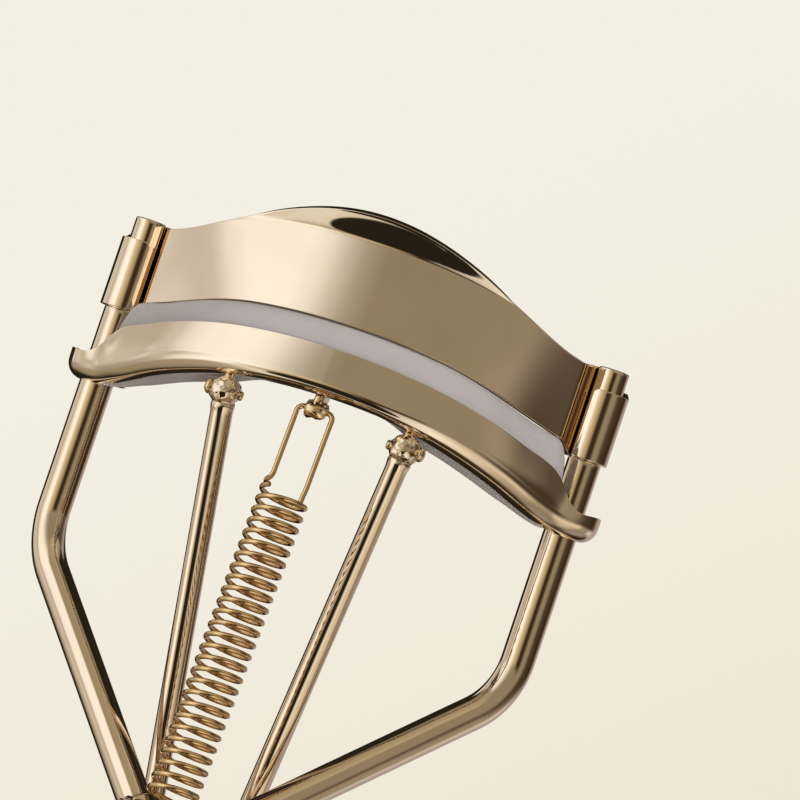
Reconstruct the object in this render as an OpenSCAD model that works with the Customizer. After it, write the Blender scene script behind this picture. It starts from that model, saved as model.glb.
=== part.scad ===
// Eyelash curler: curved jaws on two guide rods, driven by a scissor lever through two drawbars.
// Millimetres. X runs across the jaws, -Y is the convex side of the jaws, +Z runs up to the jaws.
// The origin is the centre of the fixed finger ring. The jaws are drawn closed.

/* [Guide rods] */
// Distance between the axes of the two guide rods
rod_spacing = 41; // [40.6:0.1:41.4]
// Diameter of a guide rod
rod_d = 2.75; // [2.6:0.05:2.8]
// Diameter of the turned-down upper tip of a rod
rod_tip_d = 2.3; // [2.1:0.05:2.4]
// Height of the rod tops above the ring centre
head_z = 91; // [90.5:0.1:91.5]
// Height below the rod tops at which the rods bend inwards
bend_drop = 28.4; // [27:0.2:29]
// Radius of the bend
bend_r = 7; // [5:0.5:9]

/* [Jaws] */
// Outer radius of the upper jaw in plan
jaw_r = 21.7; // [21.6:0.1:21.8]
// Depth of the jaw curve in front of the rods
jaw_depth = 12; // [11.8:0.1:12.2]
// Slope of the bite plane, which rises towards the convex side
jaw_tilt = 15; // [14:0.5:16]
// Height of the upper jaw band
band_h = 6.75; // [6.5:0.05:7]
// Thickness of the upper jaw band
band_t = 0.8; // [0.7:0.05:0.9]
// Height of the raised middle above the band ends
crest_rise = 2.6; // [2:0.1:3]
// Thickness of the pad across the bite
pad_t = 2.85; // [2.6:0.05:2.9]

/* [Scissor] */
// Height of the pivot above the ring centre
pivot_z = 39.5; // [39:0.1:40]
// Distance from the pivot forward of the fixed ring
pivot_y = 15.5; // [15.5:0.1:16]
// Length of the lever's short arm
arm_r = 11.5; // [11.4:0.1:11.6]
// Angle of the short arm above level when the jaws are closed
arm_angle = 22; // [21:0.5:23]
// Bore radius of the finger rings
ring_r = 11.2; // [10.5:0.1:11.5]
// Wall of the finger rings
ring_wall = 2.3; // [2:0.1:2.4]

/* [Hidden] */
$fn = 64;

plate = "#d8bd93";
steel = "#c9a873";
silicone = "#b5a8a0";

rod_x = rod_spacing / 2;
rod_r = rod_d / 2;
tip_r = rod_tip_d / 2;
slide_gap = 0.075;
fit_gap = 0.03;
joint_over = 0.003;

// Upper jaw
arc_y = jaw_r - jaw_depth;
bite_z = head_z - 7.1;
band_half = 59.5;
crease_w = 7.5;
lip_out = 1.9;
lip_h = 2.2;
crest_half = 17;
sleeve_r = 1.95;
sleeve_bottom = head_z - 7.85;
sleeve_top = head_z - 0.1;
tab_top = head_z - 1.95;
web_x = 18.3;
web_t = 0.7;

// Lower jaw, in the tilted frame of the bite plane
bite_gap = 0.12;
pad_front = jaw_r + 0.55;
pad_back = pad_front - pad_t;
front_in = jaw_r + 0.62;
front_out = jaw_r + 1.2;
crown = 0.3;
front_top = -2.45;
front_bottom = -6.1;
end_x = 18.8;
eye_r = 2.7;
eye_z = head_z - 13.8;
eye_h = 2.35;
rail_t = 0.65;
rail_half = 53;
bracket_half = 24;
bracket_w = -6.6;
bracket_t = 0.45;

// Links, lugs and spring
lug_x = 7.75;
lug_y = -11.6;
lug_z = head_z - 12.2;
lug_t = 0.8;
lug_r = 0.8;
rivet_r = 0.4;
ball_r = 1.15;
link_r = 0.9;
link_foot_x = 3.6;
foot_r = 2.1;
foot_bore = 1.37;
foot_w = 1.8;
cross_r = 0.95;
hook_y = -12.4;
hook_z = head_z - 11.4;
anchor_y = -19.2;
anchor_z = 44.6;
wire_r = 0.21;
coil_r = 1.95;
coil_turns = 24;
coil_steps = 12;
wire_sides = 6;
anchor_loop_r = 0.85;
hook_w = 3;
hook_len = 5.9;
anchor_r = 0.5;

// Scissor
pivot = [-pivot_y, pivot_z];
cross = pivot + arm_r * [cos(arm_angle), sin(arm_angle)];
link_slack = 0.28;
hub_r = 4;
half_t = 1.6;
arm_t = 2.8;
shank_t = 3;
cheek_in = 1.9;
cheek_out = 3.4;
pin_r = 1.5;
neck = [-12, 31];
ring_w = 3.4;
lever_ring_y = -2 * pivot_y;

// The rods aim at this point, just above the pivot
rod_aim = [0, -pivot_y, pivot_z + 1.5];
rod_end = 0.82;

// Height of the band's top edge at x, measured from the bite plane
function crest(x) = band_h + (abs(x) < crest_half ? crest_rise * pow(cos(90 * x / crest_half), 2) : 0);

// Top and bottom edges of the lower jaw at x, measured from the bite plane
function plate_top(x) = front_top - 1.7 * pow(abs(x) / end_x, 3);
function plate_bottom(x) = front_bottom - 1.3 * pow(x / end_x, 2);

module both_sides() {
  children();
  mirror([1, 0, 0]) children();
}

// Draws in the Y-Z plane: local x is Y, local y is Z, local z is X
module side_plane() {
  rotate([90, 0, 90]) children();
}

// Draws in the frame of the bite plane
module bite_frame() {
  translate([0, 0, bite_z]) rotate([-jaw_tilt, 0, 0]) children();
}

// Sweeps a profile of radius and height along the jaw curve
module jaw_sweep(from, to) {
  translate([0, arc_y, 0]) rotate([0, 0, -90 + from]) rotate_extrude(angle = to - from, $fn = 128) children();
}

// A wall along Y whose outline lies between two rows of heights
module outline_wall(xs, tops, bottoms) {
  n = len(xs);
  rotate([90, 0, 0]) translate([0, 0, -30]) linear_extrude(height = 60)
    polygon(concat([for (i = [0:n - 1]) [xs[i], tops[i]]], [for (i = [n - 1:-1:0]) [xs[i], bottoms[i]]]));
}

module bar_between(p, q, r) {
  d = q - p;
  translate(p) rotate([0, acos(d[2] / norm(d)), atan2(d[1], d[0])]) cylinder(h = norm(d), r = r);
}

module x_cylinder(x0, x1, y, z, r) {
  translate([x0, y, z]) rotate([0, 90, 0]) cylinder(h = x1 - x0, r = r);
}

module rounded_section(w, h, r) {
  square([w - 2 * r, h], center = true);
  square([w, h - 2 * r], center = true);
  for (x = [-1, 1], y = [-1, 1]) translate([x * (w / 2 - r), y * (h / 2 - r)]) circle(r = r, $fn = 24);
}

// A bar along an arc in the side plane, from p to q, bowed to the left of its direction
module arc_bar(p, q, r, w, h) {
  d = q - p;
  side = sqrt(r * r - pow(norm(d) / 2, 2));
  c = (p + q) / 2 + side * [d[1], -d[0]] / norm(d);
  a = atan2(q[1] - c[1], q[0] - c[0]);
  sweep = 2 * asin(norm(d) / 2 / r);
  translate([c[0], c[1], 0]) rotate([0, 0, a]) rotate_extrude(angle = sweep, $fn = 96)
    translate([r, 0]) rounded_section(w, h, 0.9);
}

module finger_ring(y) {
  translate([y, 0, 0]) rotate_extrude($fn = 96) translate([ring_r + ring_wall / 2, 0])
    rounded_section(ring_wall, ring_w, 0.9);
}

module upper_jaw() {
  xs = [for (x = [-19:1:19]) x];
  color(plate) {
    bite_frame() intersection() {
      jaw_sweep(-band_half, band_half) polygon([
        [jaw_r - band_t, 0],
        [jaw_r, 0],
        [jaw_r, crease_w],
        [jaw_r + lip_out, crease_w + lip_h],
        [jaw_r + lip_out - 0.5, crease_w + lip_h + 0.3],
        [jaw_r - band_t, crease_w + 0.4]]);
      outline_wall(xs, [for (x = xs) crest(x)], [for (x = xs) -1]);
    }
    both_sides() {
      jaw_end_web();
      rod_sleeve();
    }
  }
}

// Flat return of the band's end, back towards the sleeve
module jaw_end_web() {
  corner_y = -1.3 * cos(jaw_tilt);
  corner_z = bite_z + 2 * sin(jaw_tilt);
  lean = band_h * sin(jaw_tilt);
  top = corner_z + band_h * cos(jaw_tilt);
  translate([web_x, 0, 0]) side_plane() linear_extrude(height = web_t) polygon([
    [corner_y - 0.6, corner_z],
    [corner_y - 0.6 + lean, top],
    [1, top],
    [1, sleeve_bottom],
    [corner_y + 0.7, sleeve_bottom]]);
}

// Sleeve wrapped round the rod tip, open at its inner front corner and cut down in front
module rod_sleeve() {
  translate([rod_x, 0, 0]) difference() {
    translate([0, 0, sleeve_bottom]) cylinder(h = sleeve_top - sleeve_bottom, r = sleeve_r);
    translate([0, 0, sleeve_bottom - 1]) cylinder(h = 12, r = tip_r + fit_gap);
    translate([0, 0, sleeve_bottom - 1]) linear_extrude(height = 12)
      polygon([[0, 0], [-4, -0.1], [-4, -7], [-4 * sin(32), -4 * cos(32)]]);
    translate([-3, -4, tab_top]) cube([6, 3.8, 4]);
  }
}

// Stepped tip, straight run for the jaw, bend, and the run down to the yoke
module guide_rod() {
  corner = [rod_x, 0, head_z - bend_drop];
  run = rod_aim - corner;
  turn = acos(-run[2] / norm(run));
  tangent = bend_r * tan(turn / 2);
  color(steel) translate([rod_x, 0, corner[2] + tangent]) {
    rise = sleeve_bottom - 0.05 - corner[2] - tangent;
    cylinder(h = rise, r = rod_r);
    translate([0, 0, rise - 1]) cylinder(h = head_z - sleeve_bottom + 1.05, r = tip_r);
    rotate([0, 0, atan2(run[1], run[0])]) translate([bend_r, 0, 0]) rotate([90, 0, 0]) rotate([0, 0, 180]) {
      rotate_extrude(angle = turn, $fn = 96) translate([bend_r, 0]) circle(r = rod_r, $fn = 48);
      translate([bend_r, 0, 0]) sphere(r = rod_r + joint_over);
      rotate([0, 0, turn]) translate([bend_r, 0, 0]) {
        sphere(r = rod_r + joint_over);
        rotate([-90, 0, 0]) cylinder(h = rod_end * norm(run) - tangent, r = rod_r);
      }
    }
  }
}

// Two cheeks with a socket for each rod, joined over the lever's hub
module pivot_yoke() {
  corner = [rod_x, 0, head_z - bend_drop];
  run = rod_aim - corner;
  color(plate) difference() {
    union() {
      both_sides() {
        translate([cheek_in, 0, 0]) side_plane() linear_extrude(height = cheek_out - cheek_in) polygon([
          [-19.9, 39], [-20.7, 43.5], [-20.6, 45.2], [-19.8, 46], [-12.4, 46], [-10.4, 44.6],
          [-10.2, 40.5], [-10.6, 36], [-9.2, 33], [-9.2, 30.2], [-10.6, 28.6], [-13.2, 28.6],
          [-14.8, 30.2], [-18.6, 36]]);
        bar_between(corner + 0.775 * run, corner + (rod_end + 0.02) * run, 2.05);
      }
      translate([-cheek_out, -17.6, 44]) cube([2 * cheek_out, 2.8, 2]);
    }
    both_sides() bar_between(corner + 0.7 * run, corner + rod_end * run, rod_r);
    x_cylinder(-6, 6, pivot[0], pivot[1], pin_r);
    x_cylinder(-6, 6, neck[0], neck[1], 0.9);
    x_cylinder(-6, 6, anchor_y, anchor_z, anchor_r);
    translate([-cheek_in, -22, 30]) cube([2 * cheek_in, 7.2, 14]);
    translate([-cheek_in, -16, 28]) cube([2 * cheek_in, 8, 16]);
  }
}

// Fixed handle: a neck riveted between the cheeks, a bowed shank and the finger ring
module frame_handle() {
  color(plate) difference() {
    side_plane() {
      translate([neck[0], neck[1], -cheek_in]) cylinder(h = 2 * cheek_in, r = 2.3);
      arc_bar(neck, [-5.6, 11.6], 40, 4, 3.4);
      finger_ring(0);
    }
    x_cylinder(-6, 6, neck[0], neck[1], 0.9);
    x_cylinder(-6, 6, 0, 0, ring_r);
  }
}

module handle_rivet() {
  color(steel) {
    x_cylinder(-cheek_out, cheek_out, neck[0], neck[1], 0.9);
    both_sides() x_cylinder(cheek_out, cheek_out + 0.5, neck[0], neck[1], 1.5);
  }
}

module pivot_pin() {
  color(steel) {
    x_cylinder(-cheek_out - 1.1, cheek_out, pivot[0], pivot[1], pin_r);
    x_cylinder(cheek_out, cheek_out + 0.9, pivot[0], pivot[1], 2.5);
  }
}

module pivot_washer() {
  color(plate) difference() {
    x_cylinder(-cheek_out - 0.6, -cheek_out, pivot[0], pivot[1], 2.5);
    x_cylinder(-cheek_out - 1, cheek_out, pivot[0], pivot[1], pin_r);
  }
}

module spring_anchor() {
  color(steel) x_cylinder(-cheek_out - 0.4, cheek_out + 0.4, anchor_y, anchor_z, anchor_r);
}

// Lever: hub, short arm up to the cross pin, bowed shank and finger ring
module lever_handle() {
  color(plate) difference() {
    side_plane() {
      translate([pivot[0], pivot[1], -half_t]) cylinder(h = 2 * half_t, r = hub_r);
      translate([cross[0], cross[1], -half_t]) cylinder(h = 2 * half_t, r = 2.1);
      translate([pivot[0], pivot[1], -arm_t / 2]) rotate([0, 0, arm_angle]) linear_extrude(height = arm_t)
        polygon([[0, -3], [arm_r, -1.7], [arm_r, 1.7], [0, 3]]);
      mirrored_shank();
      finger_ring(lever_ring_y);
    }
    x_cylinder(-6, 6, pivot[0], pivot[1], pin_r + 0.05);
    x_cylinder(-6, 6, cross[0], cross[1], cross_r);
    x_cylinder(-6, 6, lever_ring_y, 0, ring_r);
  }
}

module mirrored_shank() {
  translate([2 * pivot[0], 0, 0]) mirror([1, 0, 0])
    arc_bar([pivot[0] + 0.8, pivot[1] - 1.5], [-5.6, 11.6], 46, 4, shank_t);
}

module cross_pin() {
  color(steel) {
    x_cylinder(-5.2, 4.8, cross[0], cross[1], cross_r);
    x_cylinder(4.8, 5.4, cross[0], cross[1], 1.6);
  }
}

module cross_pin_cap() {
  color(plate) difference() {
    x_cylinder(-5.4, -4.8, cross[0], cross[1], 1.6);
    x_cylinder(-5.2, 0, cross[0], cross[1], cross_r);
  }
}

// The pad rail stands on the bracket plate in the middle and runs deeper beside it
function rail_foot(x) = abs(x) < 11 ? bracket_w + bracket_t + 0.02 : -7;

// Front plate of the lower jaw with a crowned face, an eye on each rod and a bridge under each pad end
module lower_jaw() {
  xs = [for (x = [-20:1:20]) x];
  mid_w = (front_top + front_bottom) / 2;
  color(plate) difference() {
    union() {
      bite_frame() intersection() {
        jaw_sweep(-57.5, 57.5) polygon(concat(
          [[front_in, -9], [front_out - 0.35, -9]],
          [for (i = [-5:5]) [front_out + crown * cos(i * 17), mid_w + i * 0.55]],
          [[front_out - 0.35, 0], [front_in, 0]]));
        outline_wall(xs, [for (x = xs) plate_top(x)], [for (x = xs) plate_bottom(x)]);
      }
      bite_frame() both_sides() jaw_sweep(49, 56) translate([pad_back - rail_t, -7.6])
        square([front_out - pad_back + rail_t, 0.5]);
      both_sides() {
        translate([rod_x, 0, eye_z]) cylinder(h = eye_h, r = eye_r);
        translate([0, 0, eye_z]) linear_extrude(height = eye_h)
          polygon([[18.7, -4.6], [19.5, -4.6], [22.4, -1.9], [21, 0], [19, 0]]);
      }
    }
    both_sides() translate([rod_x, 0, eye_z - 5]) cylinder(h = 15, r = rod_r + slide_gap);
  }
}

module pad_rail() {
  xs = [for (x = [-20:2:20]) x];
  color(plate) bite_frame() intersection() {
    jaw_sweep(-rail_half, rail_half) translate([pad_back - rail_t, -9]) square([rail_t - 0.04, 9]);
    outline_wall(xs, [for (x = xs) -2.9], [for (x = xs) max(plate_bottom(x) + 0.1, rail_foot(x))]);
  }
}

// Plate under the middle of the pad with a lug for each link and the hook tab between them
module link_bracket() {
  color(plate) difference() {
    union() {
      bite_frame() jaw_sweep(-bracket_half, bracket_half) translate([pad_back - rail_t, bracket_w])
        square([front_in - pad_back + rail_t, bracket_t]);
      both_sides() hanging_tab(lug_x, lug_y, lug_z, lug_t, lug_r);
      hanging_tab(0, hook_y, hook_z, lug_t, 0.75);
    }
    both_sides() x_cylinder(lug_x - 1, lug_x + 1, lug_y, lug_z, rivet_r);
    x_cylinder(-1, 1, hook_y, hook_z, wire_r + 0.15);
  }
}

// A round-ended tab that hangs from the bracket plate, centred on its hole
module hanging_tab(x, y, z, t, r) {
  x_cylinder(x - t / 2, x + t / 2, y, z, r);
  translate([x - t / 2, y, z]) rotate([-jaw_tilt, 0, 0]) translate([0, -r, 0]) cube([t, 2 * r, 1.4]);
}

module lash_pad() {
  xs = [for (x = [-20:1:20]) x];
  r = 0.6;
  color(silicone) bite_frame() intersection() {
    jaw_sweep(-55.3, 55.3) union() {
      translate([pad_back, -9]) square([pad_t, 9 - bite_gap - r]);
      translate([pad_back + r, -2]) square([pad_t - 2 * r, 2 - bite_gap]);
      for (x = [pad_back + r, pad_front - r]) translate([x, -bite_gap - r]) circle(r = r, $fn = 24);
    }
    outline_wall(xs, [for (x = xs) 1], [for (x = xs) max(plate_bottom(x) + 0.25, -7)]);
  }
}

module link_rivet() {
  color(steel) x_cylinder(lug_x - 1.3, lug_x + 1.3, lug_y, lug_z, rivet_r);
}

// Drawbar: a slotted ball on the lug, a round bar and a foot with a slack eye on the cross pin
module link() {
  head = [lug_x, lug_y, lug_z];
  foot = [link_foot_x, cross[0] + link_slack, cross[1]];
  color(steel) difference() {
    union() {
      translate(head) sphere(r = ball_r, $fn = 48);
      bar_between(head, foot, link_r);
      x_cylinder(link_foot_x - foot_w / 2, link_foot_x + foot_w / 2, foot[1], foot[2], foot_r);
    }
    translate(head - [lug_t / 2 + 0.06, 2, 0.92]) cube([lug_t + 0.12, 4, 4]);
    x_cylinder(lug_x - 2, lug_x + 2, lug_y, lug_z, rivet_r + 0.04);
    x_cylinder(link_foot_x - 3, link_foot_x + 3, foot[1], foot[2], foot_bore);
  }
}

// Extension spring, one wire along a route: hook end, hook, helix and lower loop
module return_spring() {
  drop = [0, anchor_y - hook_y, anchor_z - hook_z];
  lean = atan2(-drop[1], -drop[2]);
  color(steel) translate([0, hook_y, hook_z]) rotate([-lean, 0, 0]) wire(spring_route(norm(drop)));
}

function unit(v) = v / norm(v);

// Points on an arc in the X-Z plane
function hook_arc(x, z, r, from, to) = [for (a = [0:3]) let (b = from + (to - from) * a / 3)
  [x + r * cos(b), 0, z + r * sin(b)]];

// The route of the wire, from the hook's free end down to the loop on the anchor at depth len
function spring_route(len) =
  let (side = hook_w / 2, round = 0.5, top = -hook_len - 0.6, turns = coil_turns + 0.25,
       steps = turns * coil_steps, run = len + top - 1.9)
  concat(
    [[side, 0, -hook_len], [side, 0, -hook_len / 2]],
    hook_arc(side - round, -round, round, 0, 90),
    hook_arc(round - side, -round, round, 90, 180),
    [[-side, 0, -hook_len / 2], [-side, 0, -hook_len], [-side - 0.25, -0.1, -hook_len - 0.35]],
    [for (i = [0:steps]) let (a = 180 + 360 * i / coil_steps)
      [coil_r * cos(a), coil_r * sin(a), top - run * i / steps]],
    [[coil_r * 0.5, -coil_r * 0.9, 1.65 - len], [0.25, -coil_r * 0.6, 1.05 - len]],
    [for (a = [60:30:330]) [0.1 - a / 1500, -anchor_loop_r * sin(a), anchor_loop_r * cos(a) - len]]);

function carried(n, t) = unit(n - (n * t) * t);

// Sweeps a round wire along a route without twisting it
module wire(route) {
  last = len(route) - 1;
  along = [for (i = [0:last]) unit(route[min(i + 1, last)] - route[max(i - 1, 0)])];
  across = [for (i = 0, n = [0, 1, 0]; i <= last; i = i + 1, n = carried(n, along[min(i, last)])) n];
  rings = [for (i = [0:last], j = [0:wire_sides - 1]) let (a = 360 * j / wire_sides)
    route[i] + wire_r * (cos(a) * across[i] + sin(a) * cross(along[i], across[i]))];
  walls = [for (i = [0:last - 1], j = [0:wire_sides - 1])
    let (k = (j + 1) % wire_sides, p = i * wire_sides, q = p + wire_sides) [p + j, q + j, q + k, p + k]];
  polyhedron(rings, concat(walls, [[for (j = [0:wire_sides - 1]) j]],
    [[for (j = [wire_sides - 1:-1:0]) last * wire_sides + j]]));
}

upper_jaw();
mirror([1, 0, 0]) guide_rod();  // left_guide_rod
guide_rod();  // right_guide_rod
pivot_yoke();
frame_handle();
handle_rivet();
pivot_pin();
pivot_washer();
spring_anchor();
lower_jaw();
pad_rail();
link_bracket();
lash_pad();
mirror([1, 0, 0]) link_rivet();  // left_link_rivet
link_rivet();  // right_link_rivet
mirror([1, 0, 0]) link();  // left_link
link();  // right_link
lever_handle();
cross_pin();
cross_pin_cap();
return_spring();
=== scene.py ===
"""Looks of the eyelash curler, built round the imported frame. Pieces are drawn in the CAD's millimetres."""
import math

import bpy
import numpy as np
from mathutils import Matrix, Vector, noise


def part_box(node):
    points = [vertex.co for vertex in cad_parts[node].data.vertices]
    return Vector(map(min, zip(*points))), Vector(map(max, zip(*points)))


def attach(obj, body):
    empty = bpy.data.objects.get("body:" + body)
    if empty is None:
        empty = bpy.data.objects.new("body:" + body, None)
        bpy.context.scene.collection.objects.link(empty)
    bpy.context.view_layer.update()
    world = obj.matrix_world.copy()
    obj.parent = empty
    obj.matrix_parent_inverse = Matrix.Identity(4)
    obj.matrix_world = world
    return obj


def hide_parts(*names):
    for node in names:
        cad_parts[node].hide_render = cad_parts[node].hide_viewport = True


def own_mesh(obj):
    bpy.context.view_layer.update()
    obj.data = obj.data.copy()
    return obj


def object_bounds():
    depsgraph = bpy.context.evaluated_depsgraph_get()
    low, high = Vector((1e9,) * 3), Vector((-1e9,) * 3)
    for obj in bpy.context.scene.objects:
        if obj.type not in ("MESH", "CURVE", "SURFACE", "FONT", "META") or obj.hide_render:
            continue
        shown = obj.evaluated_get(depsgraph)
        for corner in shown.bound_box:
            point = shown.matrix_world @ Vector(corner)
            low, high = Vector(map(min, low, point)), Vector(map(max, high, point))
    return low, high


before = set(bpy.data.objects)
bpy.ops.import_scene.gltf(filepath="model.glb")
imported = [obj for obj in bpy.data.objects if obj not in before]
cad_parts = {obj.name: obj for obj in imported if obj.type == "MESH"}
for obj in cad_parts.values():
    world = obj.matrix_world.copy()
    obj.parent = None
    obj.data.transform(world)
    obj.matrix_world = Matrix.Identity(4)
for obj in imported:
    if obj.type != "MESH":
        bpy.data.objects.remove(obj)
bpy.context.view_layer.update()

MM = 0.001
GOLD_SLOT, ROD_SLOT, PAD_SLOT = "jaw_and_handle_gold", "rod_gold", "pad_silicone"

# Driving dimensions: the rods from the frame, the others as in the CAD
ROD_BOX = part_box("right_guide_rod")
HEAD_Z = ROD_BOX[1].z / MM
ROD_R = 1.375
ROD_X = ROD_BOX[1].x / MM - ROD_R
BEND_Z = HEAD_Z - 28.4
BEND_R = 7.0
JAW_R = 21.7
ARC_Y = 9.7
TILT = math.radians(15)
BITE_Z = HEAD_Z - 7.1
BAND_H = 6.75
CREST_RISE = 2.6
CREST_HALF = 17.0
CREASE_W = 7.5
PAD_T, PAD_GAP = 2.85, 0.12
SLEEVE_BOTTOM = HEAD_Z - 7.85
SLEEVE_TOP = HEAD_Z - 0.1
TAB_TOP = HEAD_Z - 1.95
PIVOT = (-15.5, 39.5)
ARM_R, ARM_ANGLE = 11.5, math.radians(22)
CROSS = (PIVOT[0] + ARM_R * math.cos(ARM_ANGLE), PIVOT[1] + ARM_R * math.sin(ARM_ANGLE))
NECK = (-12.0, 31.0)
LUG = (7.75, -11.6, HEAD_Z - 12.2)
HOOK = (0.0, -12.4, HEAD_Z - 11.4)
ANCHOR = (-19.2, 44.6)
RING_R, RING_WALL, RING_WIDTH = 11.2, 2.3, 3.4
RING_JOIN = (-5.6, 11.6)
LEVER_RING_Y = 2 * PIVOT[0]
CHEEK_IN, CHEEK_OUT = 1.9, 3.4


# ---------------------------------------------------------------- materials
def node_material(name):
    mat = bpy.data.materials.new(name)
    mat.use_nodes = True
    tree = mat.node_tree
    return mat, tree, tree.nodes["Principled BSDF"]


def add_node(tree, kind, **values):
    """A new node, with its properties and the values of its inputs by name."""
    n = tree.nodes.new(kind)
    for key, value in values.items():
        if hasattr(n, key):
            setattr(n, key, value)
        else:
            n.inputs[key].default_value = value
    return n


def set_stops(ramp, stops):
    ends = ramp.elements[0], ramp.elements[1]
    for element, (place, colour) in zip(ends, (stops[0], stops[-1])):
        element.position = place
        element.color = (*colour, 1)
    for place, colour in stops[1:-1]:
        ramp.elements.new(place).color = (*colour, 1)


def noise_value(tree, scale, detail, roughness=0.55):
    """A noise over object space."""
    coord = add_node(tree, "ShaderNodeTexCoord")
    tex = add_node(tree, "ShaderNodeTexNoise", Scale=scale, Detail=detail, Roughness=roughness)
    tree.links.new(coord.outputs["Object"], tex.inputs["Vector"])
    return tex.outputs["Fac"]


def noise_ramp(tree, scale, detail, stops, roughness=0.55):
    """A noise turned into colours or values by a ramp."""
    ramp = add_node(tree, "ShaderNodeValToRGB")
    tree.links.new(noise_value(tree, scale, detail, roughness), ramp.inputs["Fac"])
    set_stops(ramp.color_ramp, stops)
    return ramp.outputs["Color"]


def noise_bump(tree, scale, detail, strength, distance):
    """Relief from a noise; distance is in metres."""
    bump = add_node(tree, "ShaderNodeBump", Strength=strength, Distance=distance)
    tree.links.new(noise_value(tree, scale, detail), bump.inputs["Height"])
    return bump


def grey(v):
    return (v, v, v)


def plated_metal(name, colour, rough, wobble):
    """Polished plating: slow waves in the surface, fine polishing marks and slightly paler rubbed patches."""
    worn = 0.03
    mat, tree, shader = node_material(name)
    shader.inputs["Metallic"].default_value = 1.0
    shader.inputs["IOR"].default_value = 1.6
    colour = np.array(colour)
    paler = tuple(np.minimum(colour * (1 + worn), 1))
    deeper = tuple(colour * (1 - worn))
    tint = noise_ramp(tree, 160, 3, [(0.32, deeper), (0.5, tuple(colour)), (0.7, paler)])
    gloss = noise_ramp(tree, 420, 5, [(0.3, grey(rough * 0.7)), (0.75, grey(rough * 1.5))], 0.65)
    waves = noise_bump(tree, 260, 1, wobble, 0.00005)
    grain = noise_bump(tree, 5200, 2, 0.012, 0.000004)
    tree.links.new(tint, shader.inputs["Base Color"])
    tree.links.new(gloss, shader.inputs["Roughness"])
    tree.links.new(waves.outputs["Normal"], grain.inputs["Normal"])
    tree.links.new(grain.outputs["Normal"], shader.inputs["Normal"])
    return mat


def silicone(name):
    """Satin grey silicone, slightly cloudy, with moulding grain."""
    mat, tree, shader = node_material(name)
    shader.inputs["IOR"].default_value = 1.43
    shader.inputs["Subsurface Weight"].default_value = 0.35
    shader.inputs["Subsurface Radius"].default_value = (1.0, 0.85, 0.8)
    shader.inputs["Subsurface Scale"].default_value = 0.0009
    shader.inputs["Coat Weight"].default_value = 0.5
    shader.inputs["Coat Roughness"].default_value = 0.08
    cloudy = [(0.3, (0.285, 0.266, 0.267)), (0.55, (0.295, 0.276, 0.277)), (0.8, (0.306, 0.287, 0.288))]
    tint = noise_ramp(tree, 420, 4, cloudy)
    gloss = noise_ramp(tree, 900, 3, [(0.3, grey(0.3)), (0.75, grey(0.36))])
    grain = noise_bump(tree, 2600, 3, 0.02, 0.00002)
    tree.links.new(tint, shader.inputs["Base Color"])
    tree.links.new(gloss, shader.inputs["Roughness"])
    tree.links.new(grain.outputs["Normal"], shader.inputs["Normal"])
    return mat


GOLD = plated_metal("champagne_plate", (0.95, 0.81, 0.645), 0.035, 0.03)
ROD_GOLD = plated_metal("champagne_rod", (0.94, 0.79, 0.61), 0.04, 0.08)
WIRE_GOLD = plated_metal("spring_wire", (0.83, 0.59, 0.31), 0.04, 0.05)
CAST_GOLD = plated_metal("hammered_gold", (0.90, 0.70, 0.44), 0.05, 0.20)
SILICONE = silicone("pad_silicone")


# ---------------------------------------------------------------- numbers and curves
def unit(vectors):
    """Vectors brought to length one, along the last axis."""
    vectors = np.asarray(vectors, float)
    return vectors / np.linalg.norm(vectors, axis=-1, keepdims=True)


def directions(path):
    """The unit tangent at each point of a path."""
    return unit(np.gradient(path, axis=0))


def running_sum(values):
    """The sums so far, from zero."""
    return np.concatenate([[0], np.cumsum(values)])


def full_turn(sides):
    return np.linspace(0, 2 * math.pi, sides, endpoint=False)


def signed_power(v, power):
    """A power that keeps the sign. Below one it draws a round section out towards a square."""
    return np.sign(v) * np.abs(v) ** power


def smoothstep(x, a, b):
    t = min(max((x - a) / (b - a), 0.0), 1.0)
    return t * t * (3 - 2 * t)


def hermite(p, q, tp, tq, t):
    """A point between p and q of the curve that leaves along tp and arrives along tq."""
    return ((2 * t ** 3 - 3 * t ** 2 + 1) * p + (t ** 3 - 2 * t ** 2 + t) * tp
            + (3 * t ** 2 - 2 * t ** 3) * q + (t ** 3 - t ** 2) * tq)


def smooth_path(points, per):
    """A Catmull-Rom curve through points, in so many steps from each to the next."""
    p = np.asarray(points, float)
    q = np.concatenate([2 * p[:1] - p[1:2], p, 2 * p[-1:] - p[-2:-1]])
    steps = np.linspace(0, 1, per, endpoint=False)
    out = []
    for a, b, c, d in zip(q, q[1:], q[2:], q[3:]):
        out += [0.5 * (2 * b + (c - a) * t + (2 * a - 5 * b + 4 * c - d) * t * t
                       + (3 * b - a - 3 * c + d) * t ** 3) for t in steps]
    return np.array([*out, p[-1]])


def eased(path, passes=36):
    """Irons small ripples out of a path; its ends stay."""
    for _ in range(passes):
        path[1:-1] = (path[:-2] + 2 * path[1:-1] + path[2:]) / 4
    return path


def loop_profile(points, radius, steps=4):
    """Rounds every corner of a closed profile."""
    corners = [np.array(p, float) for p in points]
    out = []
    for before, corner, after in zip(corners[-1:] + corners[:-1], corners, corners[1:] + corners[:1]):
        a, b = before - corner, after - corner
        a_length, b_length = np.linalg.norm(a), np.linalg.norm(b)
        cut = min(radius, a_length * 0.45, b_length * 0.45)
        a, b = corner + a / a_length * cut, corner + b / b_length * cut
        out += [(1 - t) ** 2 * a + 2 * t * (1 - t) * corner + t * t * b for t in np.linspace(0, 1, steps + 1)]
    return out


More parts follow.
